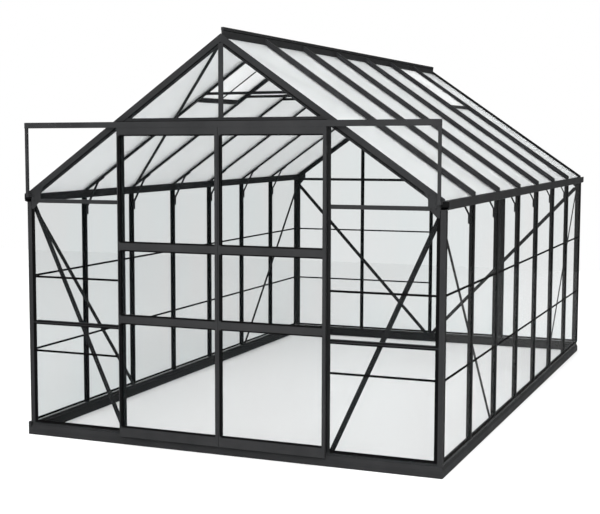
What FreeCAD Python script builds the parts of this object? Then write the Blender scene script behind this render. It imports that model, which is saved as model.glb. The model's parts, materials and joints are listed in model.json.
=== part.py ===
import FreeCAD
import Part
import os
import re
import Sketcher

# Sizes that can be set on their own, in millimetres and degrees.
SIZES = {
    "bays_wide": 4,
    "bays_long": 7,
    "bay_pitch": 622,
    # outer face of posts and bars beyond the bay lines, and depth of the frame inwards from it
    "face_offset": 12,
    "frame_depth": 30,
    "plate_wall": 2.5,
    "web_wall": 3,
    "flange_width": 30,
    # base rail
    "base_margin": 2,
    "base_height": 76,
    "base_face": 40,
    "base_ledge": 58,
    "base_lip_inset": 9,
    "base_foot_inset": 18,
    "base_shelf": 10,
    # caps that close the left ends of the front and rear rails
    "base_cap_reach": 16,
    "base_cap_depth": 24,
    # corner posts: outer lip and whole leg
    "corner_lip": 27,
    "corner_leg": 45,
    # glass and its seals
    "glass_thick": 3,
    "seal_gap": 0.3,
    "pane_gap": 2,
    "lower_joint": 512,
    "upper_joint": 954,
    "joint_height": 12,
    "joint_face": 1.5,
    # extra flange on the inner side of the right rear post
    "rear_post_wing": 17,
    # cross bars in the gables
    "middle_bar_height": 681.5,
    "eave_bar_lift": 8,
    "cross_bar_rise": 22,
    "rear_bar_depth": 20,
    # eave beam and the blocks that close its ends
    "eave_height": 1394,
    "eave_rise": 47,
    "eave_wall": 3,
    "eave_reach": 18,
    "eave_step": 7,
    "eave_lip_rise": 4,
    "block_width": 44,
    "block_lift": 17,
    "block_drop": 2,
    # roof: bars have a cap over the panes and a flange under them
    "roof_pitch": 35.07,
    "roof_lift": 7.6,
    "cap_rise": 14,
    "cap_sink": 14,
    "bar_flange": 7.4,
    "rafter_lip": 34,
    "rafter_depth": 52,
    "tip_setback": 6,
    "toe_gap": 1,
    "roof_glass_top": 22,
    # ridge board
    "ridge_rise": 36.5,
    "ridge_drop": 27.5,
    "ridge_width": 12,
    "ridge_lip_width": 16,
    "ridge_lip_height": 16,
    "ridge_setback": 24,
    # trusses and braces
    "tie_lift": 630,
    "tie_depth": 17,
    "knee_reach": 99,
    "knee_foot": 52,
    "knee_thick": 6,
    "knee_width": 20,
    "brace_width": 28,
    "brace_thick": 3,
    "brace_head_inset": 7,
    "side_brace_reach": 1,
    "side_brace_gap": 0.9,
    "brace_head_drop": 36,
    "front_head_drop": 12,
    "front_head_reach": 3.9,
    "brace_foot_inset": 12,
    "rear_foot_inset": 21,
    "brace_foot_lap": 8,
    "roof_brace_top": 72,
    "roof_brace_inset": 36,
    "gusset_rise": 62,
    "gusset_reach": 85,
    "gusset_drop": 36,
    "gusset_chamfer": 33,
    # door track
    "track_bottom": 1825,
    "track_height": 33,
    "track_depth": 22,
    "track_wall": 2,
    "track_slot": 8,
    "track_end_inset": 18,
    "track_post": 16,
    "track_foot_width": 22,
    "track_foot_rise": 16,
    "track_bracket_width": 40,
    "track_bracket_pitch": 300,
    "track_bracket_rise": 6,
    "header_bottom": 1850,
    "header_rise": 28,
    # door leaves
    "leaf_gap": 23,
    "leaf_width": 624.5,
    "meeting_gap": 3,
    "leaf_bottom": 56,
    "leaf_clear": 0.6,
    "stile_width": 17,
    "top_board": 44,
    "bottom_rail": 60,
    "lower_rail_height": 712,
    "upper_rail_height": 1130,
    "middle_rail": 52,
    # door rollers
    "roller_radius": 10,
    "roller_width": 16,
    "roller_groove": 4.4,
    "axle_radius": 3,
    "hanger_width": 24,
    "hanger_thick": 3,
    "roller_inset": 88,
    "running_gap": 0.3,
    # roof vents
    "sash_inset": 4,
    "sash_top": 24,
    "sash_end": 556,
    "sash_side_gap": 2,
    "sash_thick": 9,
    "sash_side": 10,
    "sash_head": 20,
    "sash_foot": 14,
    "vent_glass_inset": 3,
    "sill_gap": 1,
    "sill_width": 14,
    "ledge_width": 9,
    "ledge_thick": 3,
    "ledge_break": 80,
    # vent hinges
    "hinge_station": 20,
    "hinge_lift": 1,
    "hinge_radius": 4,
    "hinge_length": 18,
    "hinge_play": 1,
    "hinge_plate": 2.5,
    "hinge_plate_reach": 16,
    "hinge_inset": 90,
    # vent stays
    "stay_length": 300,
    "stay_width": 14,
    "stay_thick": 4,
    "stay_eye": 5,
    "stay_pin": 2,
    "lug_thick": 3,
    "lug_play": 1,
}

# Sizes worked out from the ones above.
DERIVED = {
    "half_width": "bay_pitch * bays_wide / 2",
    "half_length": "bay_pitch * bays_long / 2",
    "outer_x": "half_width + face_offset",
    "outer_y": "half_length + face_offset",
    "inner_x": "outer_x - frame_depth",
    "inner_y": "outer_y - frame_depth",
    "base_x": "outer_x + base_margin",
    "base_y": "outer_y + base_margin",
    "glass_face": "plate_wall + seal_gap",
    "glass_back": "glass_face + glass_thick",
    "lip_back": "glass_back + seal_gap",
    "eave_top": "eave_height + eave_rise",
    "eave_bar_height": "eave_height + eave_bar_lift",
    "eave_x": "outer_x + eave_reach",
    "roof_apex": "eave_top + roof_lift + outer_x * tan(roof_pitch)",
    "pane_face": "cap_sink + seal_gap",
    "pane_back": "pane_face + glass_thick",
    "flange_face": "pane_back + seal_gap",
    "roof_bar_depth": "flange_face + bar_flange",
    "roof_glass_end": "(roof_apex - pane_back * cos(roof_pitch) - eave_top - pane_gap) / sin(roof_pitch)",
    "cap_rest": "(roof_apex - cap_sink / cos(roof_pitch) - eave_top) / tan(roof_pitch)",
    "rafter_tip": "outer_x - tip_setback",
    "rafter_toe": "inner_x - toe_gap",
    "ridge_half": "ridge_width / 2",
    "ridge_top": "roof_apex + ridge_rise",
    "ridge_y": "outer_y - ridge_setback",
    "tie_height": "eave_height + tie_lift",
    "tie_under": "roof_apex - roof_bar_depth / cos(roof_pitch)",
    "tie_shoulder": "(tie_under - tie_height - tie_depth) / tan(roof_pitch)",
    "tie_toe": "tie_shoulder + tie_depth / tan(roof_pitch)",
    "knee_corner": "roof_apex - inner_x * tan(roof_pitch) - roof_bar_depth / cos(roof_pitch)",
    "knee_end": "knee_reach + knee_foot",
    "knee_bend": "knee_reach + knee_thick * tan((90 - roof_pitch) / 4)",
    "track_half_length": "outer_x - track_end_inset",
    "leaf_back": "base_y + leaf_gap",
    "leaf_middle": "leaf_back + track_depth / 2",
    "leaf_front": "leaf_back + track_depth",
    "leaf_top": "track_bottom - leaf_clear",
    "leaf_inner": "meeting_gap / 2",
    "leaf_outer": "leaf_inner + leaf_width",
    "axle_height": "track_bottom + track_wall + running_gap + roller_radius",
    "sash_back": "sash_inset + sash_thick",
    "hinge_x": "hinge_station * cos(roof_pitch) + hinge_lift * sin(roof_pitch)",
    "hinge_z": "roof_apex - hinge_station * sin(roof_pitch) + hinge_lift * cos(roof_pitch)",
    "pin_depth": "sash_back + running_gap + stay_eye",
    "pin_station": "sash_end - sash_foot / 2 - stay_pin",
}

ALIAS = re.compile(r"\b([a-z]+(?:_[a-z]+)+)\b")
LEFT = -1
RIGHT = 1
FRONT = -1
REAR = 1
SIDE_NAMES = {LEFT: "left", RIGHT: "right"}
END_NAMES = {FRONT: "front", REAR: "rear"}
# bay that carries the vent, counted from the front
VENT_BAYS = {LEFT: 1, RIGHT: 5}

doc = FreeCAD.newDocument("greenhouse")
dims = doc.addObject("Spreadsheet::Sheet", "dims")
nodes = []


def fill_sheet():
    row = 0
    for name, value in SIZES.items():
        row += 1
        dims.set(f"A{row}", name)
        dims.set(f"B{row}", str(value))
        dims.setAlias(f"B{row}", name)
    doc.recompute()
    for name, formula in DERIVED.items():
        row += 1
        dims.set(f"A{row}", name)
        dims.set(f"B{row}", "=" + formula)
        dims.setAlias(f"B{row}", name)
        doc.recompute()


def bind(item, target, formula):
    item.setExpression(target, ALIAS.sub(r"dims.\1", formula))


def number(formula):
    return float(dims.evalExpression(formula))


def origin_feature(body, role):
    return [item for item in body.Origin.OriginFeatures if item.Role == role][0]


def new_body(name):
    return doc.addObject("PartDesign::Body", name)


def outline(body, plane, loops, shift):
    """Sketch on a plane of the body; every corner is held by its own pair of formulas."""
    sketch = body.newObject("Sketcher::SketchObject", body.Name + "_outline")
    sketch.AttachmentSupport = [(origin_feature(body, plane), "")]
    sketch.MapMode = "FlatFace"
    bind(sketch, ".AttachmentOffset.Base.z", shift)
    first = 0
    for corners in loops:
        spots = [FreeCAD.Vector(number(a), number(b), 0) for a, b in corners]
        count = len(spots)
        for i in range(count):
            sketch.addGeometry(Part.LineSegment(spots[i], spots[(i + 1) % count]), False)
        for i in range(count):
            follower = first + (i + 1) % count
            sketch.addConstraint(Sketcher.Constraint("Coincident", first + i, 2, follower, 1))
        for i in range(count):
            for kind, value, formula in (
                ("DistanceX", spots[i].x, corners[i][0]),
                ("DistanceY", spots[i].y, corners[i][1]),
            ):
                held = sketch.addConstraint(Sketcher.Constraint(kind, -1, 1, first + i, 1, value))
                bind(sketch, f"Constraints[{held}]", formula)
        first += count
    return sketch


def slab(body, plane, corners, start, end, holes=()):
    """Straight length of a section between two positions along the axis normal to its plane."""
    shift = f"-({end})" if plane == "XZ_Plane" else start
    sketch = outline(body, plane, [corners, *holes], shift)
    pad = body.newObject("PartDesign::Pad", body.Name + "_length")
    pad.Profile = sketch
    bind(pad, "Length", f"({end}) - ({start})")
    body.Tip = pad
    return pad


def repeat(body, features, axis, spacing, count):
    pattern = body.newObject("PartDesign::LinearPattern", body.Name + "_row")
    pattern.Originals = features
    pattern.Direction = (origin_feature(body, axis), [""])
    pattern.Mode = "Spacing"
    bind(pattern, "Offset", spacing)
    bind(pattern, "Occurrences", count)
    body.Tip = pattern


def box(name, x, y, z):
    """Block between pairs of formulas along the three axes."""
    block = doc.addObject("Part::Box", name)
    for size, axis, (low, high) in (("Length", "x", x), ("Width", "y", y), ("Height", "z", z)):
        bind(block, size, f"({high}) - ({low})")
        bind(block, f".Placement.Base.{axis}", low)
    return block


def slope_box(name, side, s, y, depth):
    """Block laid in a roof slope: s runs down from the ridge, depth runs in from the outer face."""
    block = doc.addObject("Part::Box", name)
    block.Placement.Rotation = FreeCAD.Rotation(FreeCAD.Vector(0, 1, 0), 1)
    bind(block, ".Placement.Rotation.Angle", f"{side} * roof_pitch")
    bind(block, "Length", f"({s[1]}) - ({s[0]})")
    bind(block, "Width", f"({y[1]}) - ({y[0]})")
    bind(block, "Height", f"({depth[1]}) - ({depth[0]})")
    start = s[0] if side == RIGHT else s[1]
    x, z = slope_spot(side, start, depth[1])
    bind(block, ".Placement.Base.x", x)
    bind(block, ".Placement.Base.y", y[0])
    bind(block, ".Placement.Base.z", z)
    return block


def slope_spot(side, s, depth):
    x = f"{side} * (({s}) * cos(roof_pitch) - ({depth}) * sin(roof_pitch))"
    z = f"roof_apex - ({s}) * sin(roof_pitch) - ({depth}) * cos(roof_pitch)"
    return x, z


def rod(name, radius, x, y, z):
    """Round bar along the length of the house."""
    bar = doc.addObject("Part::Cylinder", name)
    bar.Placement.Rotation = FreeCAD.Rotation(FreeCAD.Vector(1, 0, 0), -90)
    bind(bar, "Radius", radius)
    bind(bar, "Height", f"({y[1]}) - ({y[0]})")
    bind(bar, ".Placement.Base.x", x)
    bind(bar, ".Placement.Base.y", y[0])
    bind(bar, ".Placement.Base.z", z)
    return bar


def fused(name, members):
    item = doc.addObject("Part::MultiFuse", name)
    item.Shapes = members
    return item


def drilled(name, base, tool):
    item = doc.addObject("Part::Cut", name)
    item.Base = base
    item.Tool = tool
    return item


def group(name, members):
    item = doc.addObject("Part::Compound", name)
    item.Links = members
    return keep(item, name)


def keep(item, name):
    item.Label = name
    nodes.append(item)
    return item


def times(sign, formula):
    return f"{sign} * ({formula})"


def between(sign, near, far):
    """Pair of positions on one side of the middle, lower one first."""
    pair = [times(sign, near), times(sign, far)]
    return pair if sign > 0 else pair[::-1]


def roof(x, depth="0"):
    """Height of the roof at a distance from the ridge line, at a depth under its outer face."""
    return f"(roof_apex - ({x}) * tan(roof_pitch) - ({depth}) / cos(roof_pitch))"


def mirrored(sign, corners):
    return [(times(sign, a), b) for a, b in corners]


def station(index):
    """Bay line along the house, counted from the front gable."""
    return f"({index} * bay_pitch - half_length)"


def column(index):
    """Bay line across the house, counted from the left wall."""
    return f"({index} * bay_pitch - half_width)"


def base_section(face):
    return [
        (face, "0"),
        (face, "base_face"),
        (f"{face} - base_lip_inset", "base_ledge"),
        (f"{face} - base_lip_inset", "base_height"),
        (f"{face} - base_margin - frame_depth", "base_height"),
        (f"{face} - base_margin - frame_depth", "base_height - base_shelf"),
        (f"{face} - base_foot_inset", "base_height - 2 * base_shelf"),
        (f"{face} - base_foot_inset", "0"),
    ]


def mitre(body, loops):
    sketch = outline(body, "XY_Plane", loops, "base_height")
    cut = body.newObject("PartDesign::Pocket", body.Name + "_mitre")
    cut.Profile = sketch
    bind(cut, "Length", "base_height")
    body.Tip = cut


def build_base():
    reach = "(2 * frame_depth)"
    for end in (FRONT, REAR):
        name = END_NAMES[end] + "_base_rail"
        body = new_body(name)
        slab(body, "YZ_Plane", mirrored(end, base_section("base_y")), "-base_x", "base_x")
        loops = []
        for side in (LEFT, RIGHT):
            loops.append([
                (times(side, "base_x"), times(end, "base_y")),
                (times(side, "base_x"), times(end, f"base_y - {reach}")),
                (times(side, f"base_x - {reach}"), times(end, f"base_y - {reach}")),
            ])
        mitre(body, loops)
        keep(body, name)
    for side in (LEFT, RIGHT):
        name = SIDE_NAMES[side] + "_base_rail"
        body = new_body(name)
        slab(body, "XZ_Plane", mirrored(side, base_section("base_x")), "-base_y", "base_y")
        loops = []
        for end in (FRONT, REAR):
            loops.append([
                (times(side, "base_x"), times(end, "base_y")),
                (times(side, f"base_x - {reach}"), times(end, "base_y")),
                (times(side, f"base_x - {reach}"), times(end, f"base_y - {reach}")),
            ])
        mitre(body, loops)
        keep(body, name)


def build_base_caps():
    caps = []
    for end in (FRONT, REAR):
        caps.append(box(
            f"base_cap_{END_NAMES[end]}",
            ("-base_x - base_cap_reach", "-base_x"),
            between(end, "base_y - base_cap_depth", "base_y"),
            ("0", "base_height"),
        ))
    group("base_end_caps", caps)


def build_corner_posts():
    half = [
        ("0", "0"),
        ("corner_lip", "0"),
        ("corner_lip", "lip_back"),
        ("corner_leg", "lip_back"),
        ("corner_leg", "lip_back + plate_wall"),
        ("corner_lip - plate_wall", "lip_back + plate_wall"),
        ("corner_lip - plate_wall", "plate_wall"),
        ("plate_wall", "plate_wall"),
    ]
    section = half + [(b, a) for a, b in half[-2:0:-1]]
    for end in (FRONT, REAR):
        for side in (LEFT, RIGHT):
            name = f"{END_NAMES[end]}_{SIDE_NAMES[side]}_corner_post"
            body = new_body(name)
            corners = []
            for a, b in section:
                corners.append((times(side, f"outer_x - ({a})"), times(end, f"outer_y - ({b})")))
            slab(body, "XY_Plane", corners, "base_height", "eave_height")
            keep(body, name)


def build_wall_bars():
    middle = station(1)
    section = [
        ("outer_x", f"{middle} - flange_width / 2"),
        ("outer_x", f"{middle} + flange_width / 2"),
        ("outer_x - plate_wall", f"{middle} + flange_width / 2"),
        ("outer_x - plate_wall", f"{middle} + web_wall / 2"),
        ("inner_x", f"{middle} + web_wall / 2"),
        ("inner_x", f"{middle} - web_wall / 2"),
        ("outer_x - plate_wall", f"{middle} - web_wall / 2"),
        ("outer_x - plate_wall", f"{middle} - flange_width / 2"),
    ]
    for side in (LEFT, RIGHT):
        name = SIDE_NAMES[side] + "_wall_bars"
        body = new_body(name)
        bar = slab(body, "XY_Plane", mirrored(side, section), "base_height", "eave_height")
        repeat(body, [bar], "Y_Axis", "bay_pitch", "bays_long - 1")
        keep(body, name)


def gable_post(name, end, middle, foot, side, wing="0"):
    """Upright in a gable, cut at the top along the rafter; side 0 stands under the ridge."""
    body = new_body(name)
    layers = (
        ("flange_width / 2", wing, "rafter_lip", "0", "plate_wall"),
        ("web_wall / 2", "0", "rafter_depth", "plate_wall", "frame_depth"),
    )
    for half, extra, depth, near, far in layers:
        corners = []
        for sign in (-1, 1):
            edge = f"({middle} - {half} - {extra})" if sign < 0 else f"({middle} + {half})"
            top = roof(half, depth) if side == 0 else roof(times(side, edge), depth)
            ends = [(edge, foot), (edge, top)]
            corners += ends if sign < 0 else ends[::-1]
        start, stop = between(end, f"outer_y - ({far})", f"outer_y - ({near})")
        slab(body, "XZ_Plane", corners, start, stop)
    return body


def build_gable_posts():
    rear = [
        gable_post("rear_post_left", REAR, column(1), "base_height", LEFT),
        gable_post("rear_post_middle", REAR, column(2), "base_height", 0),
        gable_post("rear_post_right", REAR, column(3), "base_height", RIGHT, "rear_post_wing"),
    ]
    group("rear_gable_posts", rear)
    jambs = [
        gable_post("jamb_left", FRONT, column(1), "base_height", LEFT),
        gable_post("jamb_right", FRONT, column(3), "base_height", RIGHT),
    ]
    group("door_jambs", jambs)
    centre = gable_post("front_centre_post", FRONT, column(2), "header_bottom + header_rise", 0)
    keep(centre, "front_centre_post")


def build_cross_bars():
    body = new_body("door_header")
    corners = []
    for sign, levels in ((-1, ("header_bottom + header_rise", "header_bottom")),
                         (1, ("header_bottom", "header_bottom + header_rise"))):
        for level in levels:
            to_rafter = f"(roof_apex - rafter_depth / cos(roof_pitch) - ({level})) / tan(roof_pitch)"
            reach = f"min({to_rafter}; bay_pitch - flange_width / 2)"
            corners.append((times(sign, reach), level))
    slab(body, "XZ_Plane", corners, "-outer_y", "-inner_y")
    keep(body, "door_header")

    bars = []
    for side in (LEFT, RIGHT):
        for level, reach in (("middle_bar_height", "outer_x - corner_lip"), ("eave_bar_height", "inner_x")):
            plan = [
                ("bay_pitch + flange_width / 2", "outer_y"),
                (reach, "outer_y"),
                (reach, "outer_y - lip_back"),
                ("outer_x - corner_leg", "outer_y - lip_back"),
                ("outer_x - corner_leg", "inner_y"),
                ("bay_pitch + web_wall / 2", "inner_y"),
                ("bay_pitch + web_wall / 2", "outer_y - plate_wall"),
                ("bay_pitch + flange_width / 2", "outer_y - plate_wall"),
            ]
            bar = new_body(f"bay_bar_{SIDE_NAMES[side]}_{level}")
            corners = [(times(side, a), times(FRONT, b)) for a, b in plan]
            slab(bar, "XY_Plane", corners, f"{level} - cross_bar_rise / 2", f"{level} + cross_bar_rise / 2")
            bars.append(bar)
    group("front_bay_bars", bars)

    keep(box(
        "rear_eave_bar",
        ("corner_leg - outer_x", "outer_x - corner_leg"),
        ("inner_y - rear_bar_depth", "inner_y"),
        ("eave_bar_height - cross_bar_rise / 2", "eave_bar_height + cross_bar_rise / 2"),
    ), "rear_eave_bar")


def build_eaves():
    tube = [
        ("inner_x", "eave_height"),
        ("outer_x", "eave_height"),
        ("eave_x", "eave_height + eave_step"),
        ("eave_x", "eave_top + eave_lip_rise"),
        ("eave_x - eave_wall", "eave_top + eave_lip_rise"),
        ("eave_x - eave_wall", "eave_top"),
        ("inner_x", "eave_top"),
    ]
    hollow = [
        ("inner_x + eave_wall", "eave_height + eave_wall"),
        ("outer_x - eave_wall", "eave_height + eave_wall"),
        ("eave_x - eave_wall", "eave_height + eave_step + eave_wall"),
        ("eave_x - eave_wall", "eave_top - eave_wall"),
        ("inner_x + eave_wall", "eave_top - eave_wall"),
    ]
    blocks = []
    for side in (LEFT, RIGHT):
        name = SIDE_NAMES[side] + "_eave_beam"
        body = new_body(name)
        slab(body, "XZ_Plane", mirrored(side, tube), "-outer_y", "outer_y", [mirrored(side, hollow)])
        keep(body, name)
        for end in (FRONT, REAR):
            blocks.append(box(
                f"block_{END_NAMES[end]}_{SIDE_NAMES[side]}",
                between(side, "eave_x - block_width", "eave_x"),
                between(end, "outer_y", "outer_y + plate_wall"),
                ("eave_height + block_lift", "eave_top - block_drop"),
            ))
    group("eave_end_blocks", blocks)


def build_ridge():
    body = new_body("ridge_board")
    half = [
        ("ridge_lip_width / 2", "ridge_top"),
        ("ridge_lip_width / 2", "ridge_top - ridge_lip_height"),
        ("ridge_half", "ridge_top - ridge_lip_height"),
        ("ridge_half", "roof_apex - ridge_drop"),
    ]
    corners = half + mirrored(-1, half[::-1])
    slab(body, "XZ_Plane", corners, "-ridge_y", "ridge_y")
    keep(body, "ridge_board")


def strip(start, tip, upper, lower):
    """Band of a slope between two distances from the ridge line and two depths."""
    return [
        (start, roof(start, upper)),
        (tip, roof(tip, upper)),
        (tip, roof(tip, lower)),
        (start, roof(start, lower)),
    ]


def build_rafters():
    mouth = [
        ("0", roof("0")),
        ("rafter_tip", roof("rafter_tip")),
        ("rafter_tip", "eave_top"),
        ("rafter_toe", "eave_top"),
        ("rafter_toe", roof("rafter_toe", "rafter_lip")),
        ("0", roof("0", "rafter_lip")),
    ]
    cover = strip("ridge_half", "cap_rest", "cap_sink - plate_wall", "cap_sink")
    shelf = strip("0", "rafter_toe", "rafter_lip - plate_wall", "rafter_lip")
    lip = strip("0", "rafter_toe", "rafter_lip", "rafter_depth")
    layers = (
        (mouth, "0", "plate_wall"),
        (cover, "plate_wall", "frame_depth"),
        (shelf, "plate_wall", "lip_back + plate_wall"),
        (lip, "lip_back", "lip_back + plate_wall"),
    )
    for end in (FRONT, REAR):
        for side in (LEFT, RIGHT):
            name = f"{END_NAMES[end]}_{SIDE_NAMES[side]}_rafter"
            body = new_body(name)
            for corners, near, far in layers:
                start, stop = between(end, f"outer_y - ({far})", f"outer_y - ({near})")
                slab(body, "XZ_Plane", mirrored(side, corners), start, stop)
            keep(body, name)


def build_roof_bars():
    cap = [
        ("ridge_half", roof("ridge_half", "-cap_rise")),
        ("outer_x", roof("outer_x", "-cap_rise")),
        ("outer_x", "eave_top"),
        ("cap_rest", "eave_top"),
        ("ridge_half", roof("ridge_half", "cap_sink")),
    ]
    web = strip("ridge_half", "rafter_toe", "cap_sink", "flange_face")
    flange = strip("ridge_half", "rafter_toe", "flange_face", "roof_bar_depth")
    for side in (LEFT, RIGHT):
        name = SIDE_NAMES[side] + "_roof_bars"
        body = new_body(name)
        pads = []
        for corners, width in ((cap, "flange_width"), (web, "web_wall"), (flange, "flange_width")):
            start = f"{station(1)} - {width} / 2"
            end = f"{station(1)} + {width} / 2"
            pads.append(slab(body, "XZ_Plane", mirrored(side, corners), start, end))
        repeat(body, pads, "Y_Axis", "bay_pitch", "bays_long - 1")
        keep(body, name)


def knee_spot(along, depth):
    """Spot on a knee's upper leg: distance up the slope from the wall, and depth under the roof bar."""
    return (
        f"inner_x - {along} * cos(roof_pitch) - {depth} * sin(roof_pitch)",
        f"knee_corner + {along} * sin(roof_pitch) - {depth} * cos(roof_pitch)",
    )


def build_trusses():
    body = new_body("collar_ties")
    tie = [
        ("-tie_toe", "tie_height"),
        ("tie_toe", "tie_height"),
        ("tie_shoulder", "tie_height + tie_depth"),
        ("-tie_shoulder", "tie_height + tie_depth"),
    ]
    start = f"{station(1)} - brace_thick / 2"
    bar = slab(body, "XZ_Plane", tie, start, f"{start} + brace_thick")
    repeat(body, [bar], "Y_Axis", "bay_pitch", "bays_long - 1")
    keep(body, "collar_ties")

    knee = [
        ("inner_x", "knee_corner - knee_end"),
        ("inner_x", "knee_corner - knee_reach"),
        knee_spot("knee_reach", "0"),
        knee_spot("knee_end", "0"),
        knee_spot("knee_end", "knee_thick"),
        knee_spot("knee_bend", "knee_thick"),
        ("inner_x - knee_thick", "knee_corner - knee_bend"),
        ("inner_x - knee_thick", "knee_corner - knee_end"),
    ]
    start = f"{station(1)} - knee_width / 2"
    rows = []
    for side in (LEFT, RIGHT):
        row = new_body(f"knee_row_{SIDE_NAMES[side]}")
        bar = slab(row, "XZ_Plane", mirrored(side, knee), start, f"{start} + knee_width")
        repeat(row, [bar], "Y_Axis", "bay_pitch", "bays_long - 1")
        rows.append(row)
    group("knee_braces", rows)


def brace_half(high, low):
    """Half the level width of a flat bar that runs between two spots, and its run per rise."""
    slant = f"((({high[0]}) - ({low[0]})) / (({high[1]}) - ({low[1]})))"
    return f"(brace_width / 2 * sqrt(1 + {slant} ^ 2))", slant


def brace(name, plane, high, low, start, end):
    """Flat bar between an upper and a lower spot, its ends cut level."""
    half = brace_half(high, low)[0]
    corners = [
        (f"{high[0]} - {half}", high[1]),
        (f"{high[0]} + {half}", high[1]),
        (f"{low[0]} + {half}", low[1]),
        (f"{low[0]} - {half}", low[1]),
    ]
    body = new_body(name)
    slab(body, plane, corners, start, end)
    return body


def clipped_brace(high, low, limit):
    """Corners of a flat bar whose upper outer corner is cut upright at the limit."""
    half, slant = brace_half(high, low)
    return [
        (f"{high[0]} - {half}", high[1]),
        (limit, high[1]),
        (limit, f"{high[1]} - ({high[0]} + {half} - ({limit})) / {slant}"),
        (f"{low[0]} + {half}", low[1]),
        (f"{low[0]} - {half}", low[1]),
    ]


def build_braces():
    top = "eave_height - brace_head_drop"
    foot = "base_height - brace_foot_lap"
    side_corners = clipped_brace(
        ("inner_y + side_brace_reach", top), ("half_length - 2 * bay_pitch + brace_foot_inset", foot),
        "inner_y - brace_thick - side_brace_gap")
    front = []
    rear = []
    sides = []
    slopes = []
    for side in (LEFT, RIGHT):
        tag = SIDE_NAMES[side]
        head = (times(side, "inner_x + front_head_reach"), "eave_height - front_head_drop")
        front.append(brace(
            f"front_brace_{tag}", "XZ_Plane", head, (times(side, "bay_pitch + brace_foot_inset"), foot),
            "-inner_y", "brace_thick - inner_y"))
        head = (times(side, "inner_x - brace_head_inset"), top)
        rear.append(brace(
            f"rear_brace_{tag}", "XZ_Plane", head, (times(side, "rear_foot_inset"), foot),
            "inner_y - brace_thick", "inner_y"))
        start, stop = between(side, "inner_x - brace_thick", "inner_x")
        for end in (FRONT, REAR):
            body = new_body(f"side_brace_{tag}_{END_NAMES[end]}")
            slab(body, "YZ_Plane", mirrored(end, side_corners), start, stop)
            sides.append(body)
        slopes.append(roof_brace(f"roof_brace_{tag}", side))
    group("front_wind_braces", front)
    group("rear_wind_braces", rear)
    group("side_wind_braces", sides)
    group("roof_wind_braces", slopes)


def roof_brace(name, side):
    """Flat bar under one slope, from the front of the ridge to the eave at the second bar."""
    upper = "roof_brace_top"
    lower = "rafter_toe / cos(roof_pitch) - roof_brace_inset"
    near = "roof_brace_inset - inner_y"
    far = f"{station(2)} - roof_brace_inset"
    half = f"(brace_width / 2 * sqrt(1 + ((({far}) - ({near})) / (({lower}) - ({upper}))) ^ 2))"
    corners = [
        (upper, f"{near} - {half}"),
        (upper, f"{near} + {half}"),
        (lower, f"{far} + {half}"),
        (lower, f"{far} - {half}"),
    ]
    body = new_body(name)
    slab(body, "XY_Plane", mirrored(side, corners), "-roof_bar_depth - brace_thick", "-roof_bar_depth")
    body.Placement.Rotation = FreeCAD.Rotation(FreeCAD.Vector(0, 1, 0), 1)
    bind(body, ".Placement.Rotation.Angle", f"{side} * roof_pitch")
    bind(body, ".Placement.Base.z", "roof_apex")
    return body


def build_gussets():
    post = "outer_x - corner_leg"
    upper = "rafter_toe - gusset_reach"
    bar_top = "eave_bar_height + cross_bar_rise / 2"
    bar_foot = "eave_bar_height - cross_bar_rise / 2"
    corners = [
        ("rafter_toe", f"{bar_foot} - gusset_drop"),
        ("rafter_toe", roof("rafter_toe", "rafter_lip / 2")),
        (upper, roof(upper, "rafter_lip / 2")),
        (upper, roof(upper, "rafter_lip")),
        ("rafter_toe - gusset_rise", f"{bar_top} + gusset_drop"),
        ("rafter_toe - gusset_rise", bar_top),
        (f"{post} - gusset_chamfer", bar_foot),
        (post, f"{bar_foot} - gusset_drop"),
    ]
    plates = []
    for end in (FRONT, REAR):
        for side in (LEFT, RIGHT):
            plate = new_body(f"gusset_{END_NAMES[end]}_{SIDE_NAMES[side]}")
            start, stop = between(end, "outer_y", "outer_y + plate_wall")
            slab(plate, "XZ_Plane", mirrored(side, corners), start, stop)
            plates.append(plate)
    group("eave_gussets", plates)


def pane_levels(crossings, joints=("lower_joint", "upper_joint")):
    """Heights of stacked panes from the base to the eave, split at each joint and crossing bar."""
    cuts = [(joint, "joint_height") for joint in joints] + crossings
    cuts.sort(key=lambda cut: number(cut[0]))
    levels = []
    low = "base_ledge + pane_gap"
    for middle, rise in cuts:
        levels.append((low, f"{middle} - {rise} / 2 - seal_gap"))
        low = f"{middle} + {rise} / 2 + seal_gap"
    levels.append((low, "eave_height - seal_gap"))
    return levels


def build_wall_glass():
    strips = []
    for side in (LEFT, RIGHT):
        panes = []
        sheet = between(side, "outer_x - glass_back", "outer_x - glass_face")
        depth = between(side, "outer_x - glass_back", "outer_x - joint_face")
        for bay in range(int(SIZES["bays_long"])):
            start = f"{station(bay)} + web_wall / 2 + pane_gap"
            end = f"{station(bay + 1)} - web_wall / 2 - pane_gap"
            strip_start = f"{station(bay)} + flange_width / 2 + seal_gap"
            strip_end = f"{station(bay + 1)} - flange_width / 2 - seal_gap"
            if bay == 0:
                start = "corner_lip + seal_gap - outer_y"
                strip_start = start
            if bay == SIZES["bays_long"] - 1:
                end = "outer_y - corner_lip - seal_gap"
                strip_end = end
            for row, level in enumerate(pane_levels([])):
                panes.append(box(f"{SIDE_NAMES[side]}_pane_{bay}_{row}", sheet, (start, end), level))
            for joint in ("lower_joint", "upper_joint"):
                rise = (f"{joint} - joint_height / 2", f"{joint} + joint_height / 2")
                strips.append(box(
                    f"{SIDE_NAMES[side]}_{joint}_{bay}", depth, (strip_start, strip_end), rise))
        group(SIDE_NAMES[side] + "_wall_glass", panes)
    return strips


def gable_sheet(end):
    return between(end, "outer_y - glass_back", "outer_y - glass_face")


def gable_strip(end):
    return between(end, "outer_y - glass_back", "outer_y - joint_face")


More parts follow.
